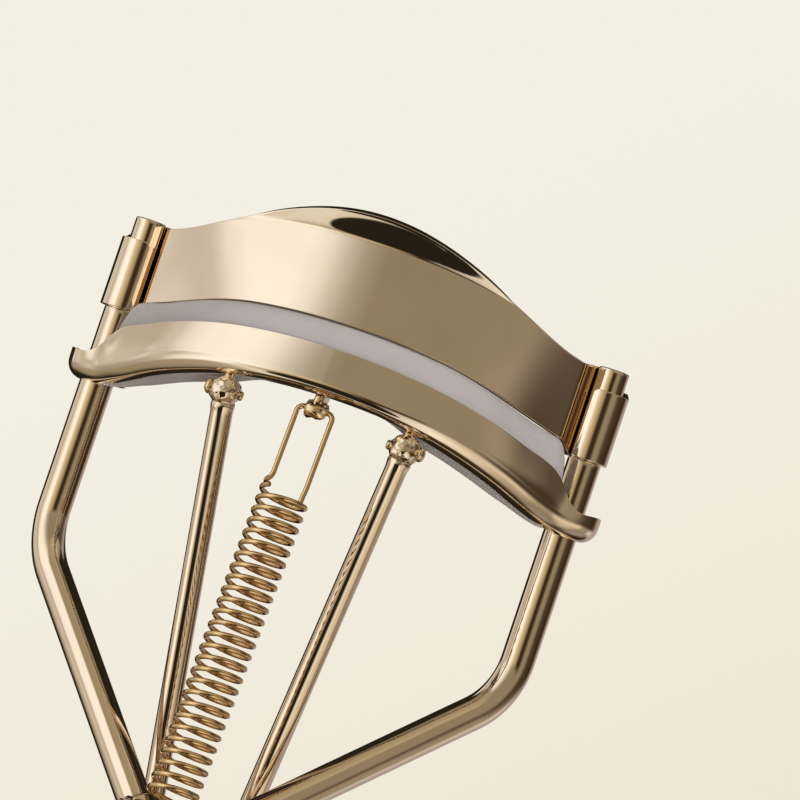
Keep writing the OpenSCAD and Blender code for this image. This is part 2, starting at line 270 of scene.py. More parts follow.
def sweep_frames(path, start_side):
    """Two unit vectors across the path at each point, carried along without twist, and the tangents."""
    along = directions(path)
    side = np.array(start_side, float)
    sides = []
    for t in along:
        side = unit(side - (side @ t) * t)
        sides.append(side)
    sides = np.array(sides)
    return sides, np.cross(along, sides), along


# ---------------------------------------------------------------- solids as (vertices, faces)
def grid_faces(rows, cols, close=False):
    """Quads over rows of points, where each row may close on itself."""
    last = cols if close else cols - 1
    return [
        (i * cols + j, i * cols + (j + 1) % cols, (i + 1) * cols + (j + 1) % cols, (i + 1) * cols + j)
        for i in range(rows - 1) for j in range(last)
    ]


def tube_rings(rings, closed=False):
    """A solid through closed rings of points. Open ends are filled with a fan."""
    n = len(rings[0])
    last = (len(rings) - 1) * n
    verts = np.concatenate(rings)
    faces = grid_faces(len(rings), n, close=True)
    if closed:
        return verts, faces + [(last + j, last + (j + 1) % n, (j + 1) % n, j) for j in range(n)]
    first, end = len(verts), len(verts) + 1
    faces += [(first, (j + 1) % n, j) for j in range(n)]
    faces += [(end, last + j, last + (j + 1) % n) for j in range(n)]
    return np.concatenate([verts, [np.mean(rings[0], 0), np.mean(rings[-1], 0)]]), faces


def round_bar(path, radii, sides, start_side, dome):
    """A round bar along a path, with ends rounded over by dome."""
    path = np.asarray(path, float)
    radii = np.broadcast_to(np.asarray(radii, float), len(path))
    a, b, along = sweep_frames(path, start_side)
    turns = full_turn(sides)

    def ring(p, r, i):
        return p + r * (np.cos(turns)[:, None] * a[i] + np.sin(turns)[:, None] * b[i])

    def end_ring(i, inwards, rounding, q):
        place = path[i] + inwards * rounding * (1 - math.sin(q))
        return ring(place, radii[i] - rounding + rounding * math.cos(q), i)

    if not dome:
        return tube_rings([ring(path[i], radii[i], i) for i in range(len(path))])
    first, last = (min(dome, radii[i] * 0.95) for i in (0, -1))
    curve = np.linspace(0, math.pi / 2, 6)
    clear = (np.linalg.norm(path - path[0], axis=1) > first * 1.05) \
        & (np.linalg.norm(path - path[-1], axis=1) > last * 1.05)
    return tube_rings([*(end_ring(0, along[0], first, q) for q in curve[::-1]),
                       *(ring(path[i], radii[i], i) for i in np.nonzero(clear)[0]),
                       *(end_ring(-1, -along[-1], last, q) for q in curve)])


def flat_bar(path, widths, depths, power=0.62):
    """A bar of rounded section along a path in the Y-Z plane: half widths in it, half depths along X."""
    turns = full_turn(48)
    c, d = signed_power(np.cos(turns), power), signed_power(np.sin(turns), power)
    return tube_rings([p + np.outer(c * w, np.cross(t, (1, 0, 0))) + np.outer(d * h, (1, 0, 0))
                       for p, t, w, h in zip(path, directions(path), widths, depths)])


def lathe(origin, axis, profile, sides=64):
    """A solid turned about an axis from (radius, height) points; a zero radius closes it."""
    axis = unit(axis)
    side = unit(np.cross(axis, (0, 0, 1) if abs(axis[2]) < 0.9 else (1, 0, 0)))
    other = np.cross(axis, side)
    turns = full_turn(sides)
    around = np.cos(turns)[:, None] * side + np.sin(turns)[:, None] * other
    return tube_rings([np.array(origin, float) + r * around + h * axis for r, h in profile],
                      closed=profile[0][0] > 0)


def collar(base, axis, bore, r, height, edge, sides=64):
    """A bored disc with rounded corners, standing on base."""
    outline = [(bore, 0), (r, 0), (r, height), (bore, height)]
    return lathe(base, axis, loop_profile(outline, edge), sides)


def join(*parts):
    """Several solids as one."""
    verts, faces, start = [], [], 0
    for v, f in parts:
        faces += [tuple(start + k for k in face) for face in f]
        verts.append(v)
        start += len(v)
    return np.concatenate(verts), faces


def flip(part, axis=0, middle=0.0):
    """The same solid mirrored in the plane that crosses an axis at middle."""
    verts, faces = part
    verts = np.array(verts, float)
    verts[:, axis] = 2 * middle - verts[:, axis]
    return verts, [tuple(reversed(f)) for f in faces]


def lumpy(part, centre, reach, amount, seed):
    """Dents a solid near a centre, as crimping does."""
    verts, faces = part
    out = []
    for p in verts:
        d = np.linalg.norm(p - centre)
        fade = 1 - smoothstep(d, reach * 0.8, reach * 1.5)
        n = noise.noise(Vector(p * 1.3 + seed)) + 0.7 * noise.noise(Vector(p * 3.1 + seed))
        out.append(p + (p - centre) / max(d, 1e-6) * n * amount * fade)
    return np.array(out), faces


# ---------------------------------------------------------------- pieces
def new_piece(name, verts, faces, body, mat, slot, replaces=()):
    """A smooth mesh piece from points in millimetres that rides on a body."""
    mesh = bpy.data.meshes.new(name)
    mesh.from_pydata([tuple(p) for p in np.asarray(verts, float) * MM], [], faces)
    mesh.validate()
    mesh.shade_smooth()
    mesh.materials.append(mat)
    piece = bpy.data.objects.new(name, mesh)
    bpy.context.scene.collection.objects.link(piece)
    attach(piece, body)
    if replaces:
        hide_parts(*replaces)
    return piece


def soften(piece, edge, angle, segments=3):
    """Rounds the edges that are sharper than an angle in degrees."""
    bevel = piece.modifiers.new("edges", "BEVEL")
    bevel.width = edge * MM
    bevel.segments = segments
    bevel.limit_method = "ANGLE"
    bevel.angle_limit = math.radians(angle)
    weighted = piece.modifiers.new("normals", "WEIGHTED_NORMAL")
    weighted.keep_sharp = True


def gold_sheet(name, rows, body, node, thickness, edge):
    """A gold sheet whose middle surface runs through rows of points, with rounded edges."""
    piece = new_piece(name, rows.reshape(-1, 3), grid_faces(*rows.shape[:2]), body, GOLD, GOLD_SLOT, [node])
    solid = piece.modifiers.new("thickness", "SOLIDIFY")
    solid.thickness = thickness * MM
    solid.offset = 0
    solid.use_even_offset = True
    soften(piece, edge, 50)


def dress(node, mat, edge):
    """Gives a CAD node that is shown as it is its material and rounded edges."""
    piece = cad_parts[node]
    piece.data.materials.clear()
    piece.data.materials.append(mat)
    soften(piece, edge, 40, 2)


# ---------------------------------------------------------------- the jaws' own frame
def bite(x, y, w):
    """A point of the part at x and y in the tilted bite plane and at height w above it."""
    return np.array([x, y * math.cos(TILT) + w * math.sin(TILT),
                     BITE_Z - y * math.sin(TILT) + w * math.cos(TILT)])


def jaw_arc(r, start, stop, count):
    """Points (x, y) on an arc about the jaws' centre. Angles count from the front, positive to the right."""
    return [(r * math.sin(t), ARC_Y - r * math.cos(t)) for t in np.linspace(start, stop, count)]


def jaw_wall(r, reach, count, heights):
    """Rows of points of an upright wall on an arc about the jaws' centre. heights gives a row's, by its x."""
    return np.array([[bite(x, y, w) for w in heights(x)] for x, y in jaw_arc(r, -reach, reach, count)])


def round_rod(r, degrees, z):
    """A point at a distance and bearing from the right rod's axis."""
    a = math.radians(degrees)
    return np.array([ROD_X + r * math.cos(a), r * math.sin(a), z])


def mirrored_rows(half):
    """Rows from the middle out to the right, joined to their mirror image on the left."""
    half = np.asarray(half, float)
    return np.concatenate([half[:0:-1] * (-1, 1, 1), half])


def end_drop(x):
    """How much lower the bite runs near the rods."""
    return 0.55 * smoothstep(abs(x), 8, 18)


# ---------------------------------------------------------------- upper jaw
STRIP_T = 0.56
BAND_MID = JAW_R - STRIP_T / 2
BAND_REACH = 20.48
CORNER_R = 0.14
SLEEVE_R = 1.88
SLEEVE_MID = SLEEVE_R - STRIP_T / 2
LEVELS = 56
WRAP_FROM, WRAP_TO = 165, -121


def crest(x):
    """Height of the band's top above the bite plane."""
    if abs(x) >= CREST_HALF:
        return BAND_H
    return BAND_H + CREST_RISE * math.cos(math.pi / 2 * x / CREST_HALF) ** 1.5


def lip_offset(w):
    """How far the flared lip stands out at height w above the bite plane."""
    softness = 0.09
    above = softness * math.log1p(math.exp((w - CREASE_W) / softness))
    return 0.56 * above + 0.17 * above ** 2


def band_line():
    """The band's middle surface in plan, to its right end: an arc that straightens towards the rod."""
    s = np.linspace(0, BAND_REACH, 1200)
    steps = np.diff(s)
    bent = BAND_MID * math.radians(30)
    curvature = np.array([1 - 0.87 * smoothstep(d, bent, bent + 7) for d in s]) / BAND_MID
    angle = running_sum((curvature[1:] + curvature[:-1]) / 2 * steps)
    middle = (angle[1:] + angle[:-1]) / 2
    x = running_sum(np.cos(middle) * steps)
    y = running_sum(np.sin(middle) * steps) + ARC_Y - BAND_MID
    kept = np.linspace(0, len(s) - 1, 110).astype(int)
    return np.stack([x, y, np.zeros(len(s))], 1)[kept]


def band_column(base, tangent):
    """The band's points above a point of its line. Towards the rod the band stands upright and sinks."""
    out = bite(tangent[1], -tangent[0], 0) - bite(0, 0, 0)
    upright = smoothstep(base[0], 5, 18.2)
    return np.array([bite(base[0], base[1], w) + out * lip_offset(w)
                     - (0, (w - BAND_H / 2) * math.sin(TILT) * upright, end_drop(base[0]))
                     for w in np.linspace(0, crest(base[0]), LEVELS)])


def sleeve_column(degrees):
    """The sleeve's points at a bearing round the rod: cut down in front, with eased corners at its end."""
    raised = 0.5 * smoothstep(degrees, 8, 40) + (SLEEVE_TOP - TAB_TOP - 0.5) * smoothstep(degrees, 60, 88)
    ease = smoothstep(-degrees, 102, -WRAP_TO)
    bottom, top = SLEEVE_BOTTOM + 0.12 * ease, TAB_TOP + raised - 0.3 * ease ** 2
    return np.array([round_rod(SLEEVE_MID, degrees, z) for z in np.linspace(bottom, top, LEVELS)])


def upper_jaw_rows():
    """Columns of points along the bent strip: band, corner, web and the wrap round the rod."""
    line = band_line()
    tangents = directions(line)
    rows = [band_column(p, t) for p, t in zip(line, tangents)]
    end = rows[-1]
    leave, back = tangents[-1] * CORNER_R, np.array([0, CORNER_R, 0])
    rows += [end + leave * (2 * t - t * t) + back * t * t for t in np.linspace(0, 1, 7)[1:]]
    start, goal = rows[-1], sleeve_column(WRAP_FROM)
    span = goal[0, 1] - start[0, 1]
    wrap = math.radians(WRAP_FROM)
    arrive = np.array([math.sin(wrap), -math.cos(wrap), 0]) * span
    rows += [hermite(start, goal, np.array([0, span, 0]), arrive, t) for t in np.linspace(0, 1, 14)[1:]]
    rows += [sleeve_column(degrees) for degrees in np.linspace(WRAP_FROM, WRAP_TO, 72)[1:]]
    return mirrored_rows(rows)


def build_upper_jaw():
    gold_sheet("upper_jaw_plate", upper_jaw_rows(), "frame", "upper_jaw", STRIP_T, 0.19)


# ---------------------------------------------------------------- lower jaw
FRONT_MID = 22.6
FRONT_END = math.radians(47)
FRONT_HALF = 18.8
FRONT_T = 0.5
# The rail stands just behind the pad
RAIL_R = JAW_R + 0.55 - PAD_T - 0.32
# The eyes that slide on the rods, from their foot up
EYE_Z, EYE_BORE, EYE_R, EYE_H = HEAD_Z - 14.05, 1.46, 2.42, 1.7
EAR_R = 2.6
# Edges of the front plate on its way out to the ear: (x, y, height above EYE_Z)
EAR_TOP = [(18.2, -4.75, 4.75), (19.3, -3.6, 4.0), (20.2, -2.95, 2.8), (21.05, -2.65, 2.0)]
EAR_BOTTOM = [(18.25, -5.65, 0.8), (19.35, -4.4, 0.45), (20.2, -3.5, 0.17), (21.1, -2.9, 0)]
# Its edges round the rod: bearings with the top's heights above EYE_Z, and the bottom's height
WRAP_TOP = [(-58, 1.8), (-36, 1.9), (-14, 2.0), (8, 1.9), (28, 1.7), (48, 1.45)]
WRAP_BOTTOM = -0.13


def front_top(x):
    return -2.75 - 0.95 * (abs(x) / FRONT_HALF) ** 3


def front_bottom(x):
    return -6.1 - 1.3 * (x / FRONT_HALF) ** 2


def front_edges():
    """Top and bottom edges of the front plate from the middle to the end of the ear."""
    arc = jaw_arc(FRONT_MID, 0, FRONT_END, 16)
    tops = [bite(x, y, front_top(x)) for x, y in arc]
    bottoms = [bite(x, y, front_bottom(x)) for x, y in arc]
    tops += [(x, y, EYE_Z + height) for x, y, height in EAR_TOP]
    bottoms += [(x, y, EYE_Z + height) for x, y, height in EAR_BOTTOM]
    tops += [round_rod(EAR_R, degrees, EYE_Z + height) for degrees, height in WRAP_TOP]
    bottoms += [round_rod(EAR_R, degrees, EYE_Z + WRAP_BOTTOM) for degrees, _ in WRAP_TOP]
    return eased(smooth_path(tops, 8)), eased(smooth_path(bottoms, 8))


def front_column(top, bottom, tangent):
    """The plate's points from its top edge down: a crowned face, then an edge that rolls back."""
    height = np.linalg.norm(top - bottom)
    up = (top - bottom) / height
    out = unit(np.cross(tangent, up))
    crown = 0.42 * (height / 3.65) ** 2
    roll = 0.6 + 0.6 * smoothstep(abs(top[0]), 4, 13)
    column = [top - up * h + out * crown * (0.5 - (h / height) ** 2.6)
              for h in np.linspace(0, height - roll, 26)]
    corner = column[-1]
    column += [corner - up * roll * math.sin(q) - out * roll * (1 - math.cos(q))
               for q in np.linspace(0, math.pi / 2, 13)[1:]]
    return [*column, column[-1] - out * 0.25]


def front_plate_rows():
    tops, bottoms = front_edges()
    along = np.gradient((tops + bottoms) / 2, axis=0)
    return mirrored_rows([front_column(*column) for column in zip(tops, bottoms, along)])


def build_lower_jaw():
    gold_sheet("lower_jaw_plate", front_plate_rows(), "jaw", "lower_jaw", FRONT_T, 0.15)
    eye = collar((ROD_X, 0, EYE_Z), (0, 0, 1), EYE_BORE, EYE_R, EYE_H, 0.15)
    new_piece("rod_eyes", *join(eye, flip(eye)), "jaw", GOLD, GOLD_SLOT)


def build_rail():
    """The thin wall behind the pad."""
    rows = jaw_wall(RAIL_R, math.radians(52), 120, lambda x: np.linspace(front_bottom(x) + 0.9, -2.9, 10))
    gold_sheet("rail_plate", rows, "jaw", "pad_rail", FRONT_T, 0.1)


# ---------------------------------------------------------------- pad
PAD_ARC, PAD_NOSE = math.radians(43), 2.1
PAD_END = [(16.6, -5.2), (17.75, -4.35), (18.7, -3.6), (19.5, -2.98), (20.2, -2.5)]


def pad_line():
    """The pad's front face in plan: the jaw curve, eased outwards to run on in front of each rod."""
    points = jaw_arc(JAW_R + 0.5, 0, PAD_ARC, 14) + PAD_END
    half = smooth_path([(x, y, 0) for x, y in points], 10)
    return mirrored_rows(half[:, None, :])[:, 0, :]


def pad_stations(length):
    """Distances along the pad, closer together where its ends round off."""
    nose = PAD_NOSE * (1 - np.cos(np.linspace(0.06, math.pi / 2, 16)))
    return np.concatenate([nose, np.linspace(PAD_NOSE, length - PAD_NOSE, 150)[1:-1], length - nose[::-1]])


def pad_ring(x, y, inward, from_tip):
    """The pad's section at a point of its front face. from_tip runs from 0 at the pad's end to 1."""
    round_off = math.sqrt(max(1 - (1 - from_tip) ** 2, 0))
    foot = front_bottom(x) + 0.3 - 0.75 * smoothstep(abs(x), 5, 10)
    top = foot + (-PAD_GAP - end_drop(x) - foot) * (0.3 + 0.7 * round_off)
    depth = PAD_T * (0.12 + 0.88 * round_off)
    front_lift = 0.55 + 0.65 * smoothstep(abs(x), 13, 18)
    ring = []
    for a in full_turn(80):
        u = signed_power(math.cos(a), 0.34)
        v = signed_power(math.sin(a), 0.5 if math.sin(a) > 0 else 0.3)
        inset = PAD_T / 2 - u * depth / 2
        lift = front_lift * max(-v, 0) * (u + 1) / 2
        w = (top + foot) / 2 + (top - foot) / 2 * v + lift
        ring.append(bite(x + inward[0] * inset, y + inward[1] * inset, w))
    return ring


def build_pad():
    line = pad_line()
    along = running_sum(np.linalg.norm(np.diff(line, axis=0), axis=1))
    tangents = directions(line)
    rings = []
    for s in pad_stations(along[-1]):
        x, y = (np.interp(s, along, line[:, k]) for k in (0, 1))
        t = unit([np.interp(s, along, tangents[:, k]) for k in (0, 1)])
        rings.append(pad_ring(x, y, (-t[1], t[0]), min(s, along[-1] - s, PAD_NOSE) / PAD_NOSE))
    piece = new_piece("silicone_pad", *tube_rings(rings), "jaw", SILICONE, PAD_SLOT, ["lash_pad"])


# ---------------------------------------------------------------- guide rods
# Radii as they show, a little fuller than in the CAD
ROD_SHOWN_R, TIP_SHOWN_R = 1.42, 1.3
ROD_CORNER = np.array([ROD_X, 0, BEND_Z])
ROD_RUN = np.array([0, PIVOT[0], PIVOT[1] + 1.5]) - ROD_CORNER
# Shares of the run to the pivot where the rod stops and where its socket starts and stops
ROD_STOP, SOCKET_FROM, SOCKET_TO = 0.86, 0.83, 0.875


def rod_path():
    """Down from the sleeve, round one soft bend, then inwards and forwards to the yoke."""
    toward, flat = unit(ROD_RUN), unit(ROD_RUN * (1, 1, 0))
    turn = math.acos(-toward[2])
    tangent = BEND_R * math.tan(turn / 2)
    start = ROD_CORNER + (0, 0, tangent)
    centre = start + flat * BEND_R
    straight = np.linspace((ROD_X, 0, SLEEVE_BOTTOM - 0.05), start, 30)
    bend = [centre - flat * BEND_R * math.cos(a) - (0, 0, BEND_R * math.sin(a))
            for a in np.linspace(0, turn, 26)[1:]]
    lower = np.linspace(ROD_CORNER + toward * tangent, ROD_CORNER + ROD_RUN * ROD_STOP, 30)[1:]
    return np.concatenate([straight, bend, lower])


def build_rods():
    tip_path = np.linspace((ROD_X, 0, HEAD_Z), (ROD_X, 0, SLEEVE_BOTTOM - 0.3), 24)
    rod = join(round_bar(tip_path, TIP_SHOWN_R, 64, (1, 0, 0), 0.16),
               round_bar(rod_path(), ROD_SHOWN_R, 64, (1, 0, 0), 0.12))
    new_piece("right_rod", *rod, "frame", ROD_GOLD, ROD_SLOT, ["right_guide_rod"])
    new_piece("left_rod", *flip(rod), "frame", ROD_GOLD, ROD_SLOT, ["left_guide_rod"])


# ---------------------------------------------------------------- drawbars
BALL_R, NECK_AT, LINK_R = 1.28, 1.2, 0.93
FOOT = np.array([3.6, CROSS[0] + 0.28, CROSS[1]])


def ball_radius(s):
    """A drawbar's radius at s from the middle of its ball, to just past its neck."""
    ball = math.sqrt(max(BALL_R ** 2 - s ** 2, 0)) if s < NECK_AT else 0
    neck = LINK_R + 0.07 * math.exp(-((s - NECK_AT) / 0.35) ** 2)
    return max(ball, neck * smoothstep(s, 0.2, 1.0), 0.06)


def build_link(side, name, node, body, seed):
    head = np.array(LUG)
    ball = np.linspace(-1.26, 1.75, 48)
    bar = np.linspace(1.85, np.linalg.norm(FOOT - head) - 1.6, 40)
    path = head + np.outer([*ball, *bar], unit(FOOT - head))
    radii = [ball_radius(s) for s in ball] + [LINK_R] * len(bar)
    link = join(lumpy(round_bar(path, radii, 64, (1, 0, 0), 0), head, 1.3, 0.12, seed),
                collar(FOOT - (0.9, 0, 0), (1, 0, 0), 1.37, 2.1, 1.8, 0.3))
    new_piece(name, *(flip(link) if side < 0 else link), body, ROD_GOLD, ROD_SLOT, [node])


# ---------------------------------------------------------------- link bracket
BRACKET_R = 19.05
LUG_HALF_W, LUG_HALF_T = 0.62, 0.42
BARREL = [(0, 0), (0.4, 0.02), (0.66, 0.15), (0.78, 0.45), (0.74, 0.8), (0.8, 1.15), (0.76, 1.5),
          (0.62, 1.76), (0.36, 1.88), (0, 1.9)]
RIVET_HEAD = [(0, 0.5), (0.3, 0.47), (0.5, 0.36), (0.62, 0.18), (0.62, 0), (0, 0)]


def lug(x, y, z, r):
    """A tongue from the strip, forwards and then down to just past (x, y, z), where its width goes by r."""
    back = bite(x, ARC_Y - math.sqrt(BRACKET_R ** 2 - x * x), -5.5)
    under = np.array([x, y, z + 1.15])
    path = smooth_path([back + (0, 0.2, 0), (back + under) / 2 + (0, 0, 0.05), under + (0, 0.3, 0.02),
                        under + (0, 0, -0.35), (x, y, z + 0.2), (x, y, z - r * 0.75)], 8)
    half = len(path) // 2
    widths = np.concatenate([np.full(half, 1.1), np.linspace(1.1, r, len(path) - half)])
    a, b, _ = sweep_frames(path, (1, 0, 0))
    turns = full_turn(24)
    c, d = signed_power(np.cos(turns), 0.6), signed_power(np.sin(turns), 0.6)
    return tube_rings([p + np.outer(c, s) * LUG_HALF_T + np.outer(d, n) * w * LUG_HALF_W
                       for p, s, n, w in zip(path, a, b, widths)])


def build_lugs():
    """Lugs and hook tab on a strip behind the pad, with peened rivets through the lugs."""
    rows = jaw_wall(BRACKET_R, math.radians(25), 50, lambda x: np.linspace(-5.55, -4.5, 8))
    gold_sheet("bracket_strip", rows, "jaw", "link_bracket", 0.4, 0.08)
    x, y, z = LUG
    hook = np.array(HOOK)
    barrel = lumpy(lathe(hook - (0.95, 0, 0), (1, 0, 0), BARREL, 40), hook, 1.2, 0.16, 5.3)
    lugs = join(lug(x, y, z, 0.85), lug(-x, y, z, 0.85), lug(*HOOK, 0.5), barrel)
    new_piece("lugs", *lugs, "jaw", CAST_GOLD, GOLD_SLOT)
    shaft = round_bar(np.linspace((x - 1.55, y, z), (x + 1.55, y, z), 12), 0.4, 32, (0, 1, 0), 0.2)
    rivet = join(shaft, lathe((x + 1.25, y, z), (1, 0, 0), RIVET_HEAD, 32))
    new_piece("right_rivet", *rivet, "jaw", CAST_GOLD, ROD_SLOT, ["right_link_rivet"])
    new_piece("left_rivet", *flip(rivet), "jaw", CAST_GOLD, ROD_SLOT, ["left_link_rivet"])


# ---------------------------------------------------------------- spring
WIRE_R, COIL_R, COIL_TURNS, TURN_STEPS = 0.22, 1.94, 26.25, 28
HOOK_W, HOOK_LEN, HOOK_BEND = 3.0, 6.8, 0.5
ANCHOR_LOOP_R = 0.85
SPRING_TOP, SPRING_FOOT = np.array(HOOK), np.array([0, *ANCHOR])
SPRING_LEN = np.linalg.norm(SPRING_FOOT - SPRING_TOP)
SPRING_DOWN = unit(SPRING_FOOT - SPRING_TOP)
SPRING_BACK = np.cross((1, 0, 0), SPRING_DOWN)


def on_spring(x, y, s):
    """The point x to the right, y behind and s down the spring's own line."""
    return SPRING_TOP + (x, 0, 0) + SPRING_BACK * y + SPRING_DOWN * s


def hook_path():
    """Up the right leg from inside the coil, over the tab and down the left leg, curling in to the coil."""
    half, bend = HOOK_W / 2, HOOK_BEND
    quarter = np.linspace(0, math.pi / 2, 6)
    route = [(half - 0.1, 0, HOOK_LEN + 1.2), (half - 0.05, 0, HOOK_LEN + 0.4), (half, 0, HOOK_LEN - 0.4)]
    route += [(half, 0, s) for s in np.linspace(HOOK_LEN - 1, 1.0, 8)]
    for middle, turns in ((half - bend, quarter), (bend - half, quarter + math.pi / 2)):
        route += [(middle + bend * math.cos(a), 0, bend - bend * math.sin(a)) for a in turns]
    route += [(-half, 0, s) for s in np.linspace(1.0, HOOK_LEN - 0.8, 8)]
    route += [(-half - 0.12, 0, HOOK_LEN - 0.35), (-half - 0.3, -0.1, HOOK_LEN - 0.05),
              (-half - 0.2, -0.35, HOOK_LEN + 0.3), (-half + 0.05, -0.9, HOOK_LEN + 0.52)]
    return smooth_path([on_spring(*p) for p in route], 5)


def coil_path():
    start = HOOK_LEN + 0.6
    run = SPRING_LEN - start - 1.9
    steps = COIL_TURNS * TURN_STEPS
    coil = []
    for i in range(int(steps) + 1):
        a = math.pi * 1.28 - 2 * math.pi * i / TURN_STEPS
        coil.append(on_spring(COIL_R * math.cos(a), COIL_R * math.sin(a), start + run * i / steps))
    return coil


def tail_path(coil_end):
    """From the coil's end to the middle and round the anchor pin."""
    tail = [coil_end, on_spring(COIL_R * 0.5, COIL_R * 0.7, SPRING_LEN - 1.55),
            on_spring(0.2, COIL_R * 0.55, SPRING_LEN - 1.2)]
    for q in np.radians(np.arange(210, -91, -20)):
        tail.append((0, ANCHOR[0] - ANCHOR_LOOP_R * math.sin(q), ANCHOR[1] + ANCHOR_LOOP_R * math.cos(q)))
    return smooth_path(tail, 4)


def build_spring():
    hook, coil = hook_path(), coil_path()
    lead_in = smooth_path([hook[-1], (coil[0] + hook[-1]) / 2, coil[0], coil[1]], 4)
    hook = np.concatenate([hook, lead_in[1:-3]])
    route = np.concatenate([coil, tail_path(coil[-1])[1:]])
    new_piece("spring_hook", *round_bar(hook, WIRE_R, 16, (0, 1, 0), 0.1), "jaw", WIRE_GOLD, ROD_SLOT)
    wire = round_bar(route, WIRE_R, 14, (0, 0, 1), 0.05)
    spring = new_piece("spring_coil", *wire, "frame", WIRE_GOLD, ROD_SLOT, ["return_spring"])
    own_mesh(spring)


# ---------------------------------------------------------------- scissor
YOKE_OUTLINE = [(-19.9, 39), (-20.7, 43.4), (-20.4, 45.5), (-18.2, 45.5), (-17.4, 44.6), (-12.2, 44.6),
                (-10.3, 43.2), (-10.2, 40.5), (-10.6, 36), (-9.3, 33), (-9.3, 30.2), (-10.6, 28.7),
                (-13.2, 28.7), (-14.8, 30.2), (-18.6, 36)]


def side_arc(p, q, r):
    """Points of an arc in the Y-Z plane from p to q, bowed to the left of its direction."""
    p, q = np.array(p, float), np.array(q, float)
    d = q - p
    length = np.linalg.norm(d)
    centre = (p + q) / 2 + math.sqrt(r * r - length * length / 4) * np.array([d[1], -d[0]]) / length
    start = math.atan2(p[1] - centre[1], p[0] - centre[0])
    sweep = 2 * math.asin(length / 2 / r)
    return np.array([(0, centre[0] + r * math.cos(a), centre[1] + r * math.sin(a))
                     for a in np.linspace(start, start - sweep, 60)])


def finger_ring(y):
    """A ring with a flattened bore and a fuller outer side."""
    profile = []
    for a in full_turn(40):
        radial = signed_power(math.cos(a), 0.85 if math.cos(a) > 0 else 0.6)
        across = signed_power(math.sin(a), 0.7)
        profile.append((RING_R + RING_WALL / 2 * (1 + radial), RING_WIDTH / 2 * across))
    return lathe((0, y, 0), (1, 0, 0), profile, 160)


def shank(start, r, half_depth):
    """Bowed shank that widens into its ring."""
    path = side_arc(start, RING_JOIN, r)
    t = np.linspace(0, 1, len(path))
    flare = np.array([0.9 * smoothstep(v, 0.72, 1.0) ** 2 for v in t])
    return flat_bar(path, 1.62 + 0.4 * (1 - t) ** 2 + flare, half_depth * (1 - 0.1 * np.sin(math.pi * t)))


def boss(centre, r, half, bore):
    """A bored disc round a pin of the scissor, centred across it."""
    return collar((-half, *centre), (1, 0, 0), bore, r, 2 * half, 0.35, 72)


def build_handles():
    frame_grip = join(boss(NECK, 2.3, CHEEK_IN - 0.05, 0.8), shank(NECK, 40, 1.7), finger_ring(0))
    new_piece("frame_grip", *frame_grip, "frame", GOLD, GOLD_SLOT, ["frame_handle"])
    bowed = flip(shank((PIVOT[0] + 0.8, PIVOT[1] - 1.5), 46, 1.5), 1, PIVOT[0])
    arm = flat_bar(np.linspace((0, *PIVOT), (0, *CROSS), 30), np.linspace(3.0, 1.65, 30), np.full(30, 1.4))
    lever = join(bowed, boss(PIVOT, 4.0, 1.6, 1.5), boss(CROSS, 2.1, 1.6, 1.0), arm,
                 finger_ring(LEVER_RING_Y))
    new_piece("lever_grip", *lever, "lever", GOLD, GOLD_SLOT, ["lever_handle"])


def build_yoke():
    """Two cheeks joined by a bridge, with a socket for each rod."""
    outline = loop_profile(YOKE_OUTLINE, 1.1, 6)
    n = len(outline)
    verts = np.array([(x, *p) for x in (CHEEK_IN, CHEEK_OUT) for p in outline])
    faces = [(i, (i + 1) % n, n + (i + 1) % n, n + i) for i in range(n)]
    faces += [tuple(range(n))[::-1], tuple(range(n, 2 * n))]
    socket_path = np.linspace(ROD_CORNER + ROD_RUN * SOCKET_FROM, ROD_CORNER + ROD_RUN * SOCKET_TO, 14)
    cheek = join((verts, faces), round_bar(socket_path, 1.95, 48, (1, 0, 0), 0.3))
    bridge_path = np.linspace((0, -17.5, 44.25), (0, -14.9, 44.25), 8)
    bridge = flat_bar(bridge_path, np.full(8, 0.55), np.full(8, CHEEK_IN + 0.3), 0.3)
    yoke = join(cheek, flip(cheek), bridge)
    soften(new_piece("yoke_cheeks", *yoke, "frame", GOLD, GOLD_SLOT, ["pivot_yoke"]), 0.25, 40)


# ---------------------------------------------------------------- studio
YAW, PITCH, ROLL = math.radians(8.98), math.radians(3.26), math.radians(18.58)
DISTANCE = 471.0
LENS = 259.0
AIM = (5.22, -6.0, 82.84)

# Studio walls by compass bearing from the camera, left negative: (degrees, colour)
BLACK, DUSK, OLIVE, WHITE = (0.02, 0.015, 0.01), (0.045, 0.028, 0.014), (0.294, 0.25, 0.176), (1.1, 1.1, 1.08)
LEVEL_WALL = [(-180, BLACK), (-126, BLACK), (-121, (0.9, 0.88, 0.84)), (-116, (0.6, 0.56, 0.5)),
              (-107, (0.58, 0.54, 0.49)), (-103, (0.74, 0.71, 0.67)), (-99.5, (0.64, 0.6, 0.56)),
              (-86, (0.54, 0.49, 0.4)), (-74, (0.85, 0.83, 0.78)), (-62, WHITE), (-46, WHITE),
              (-34, (0.75, 0.64, 0.46)), (-21, (0.54, 0.45, 0.3)), (-9, (0.34, 0.26, 0.15)), (0, DUSK),
              (15, DUSK), (23, (0.15, 0.12, 0.08)), (29, OLIVE), (46, OLIVE), (51, (0.24, 0.205, 0.146)),
              (57, (0.15, 0.118, 0.09)), (62, (0.11, 0.082, 0.066)), (68, (0.073, 0.051, 0.031)), (97, DUSK),
              (110, DUSK), (120, (0.17, 0.13, 0.12)), (134, (0.42, 0.36, 0.35)), (180, (0.47, 0.42, 0.41))]
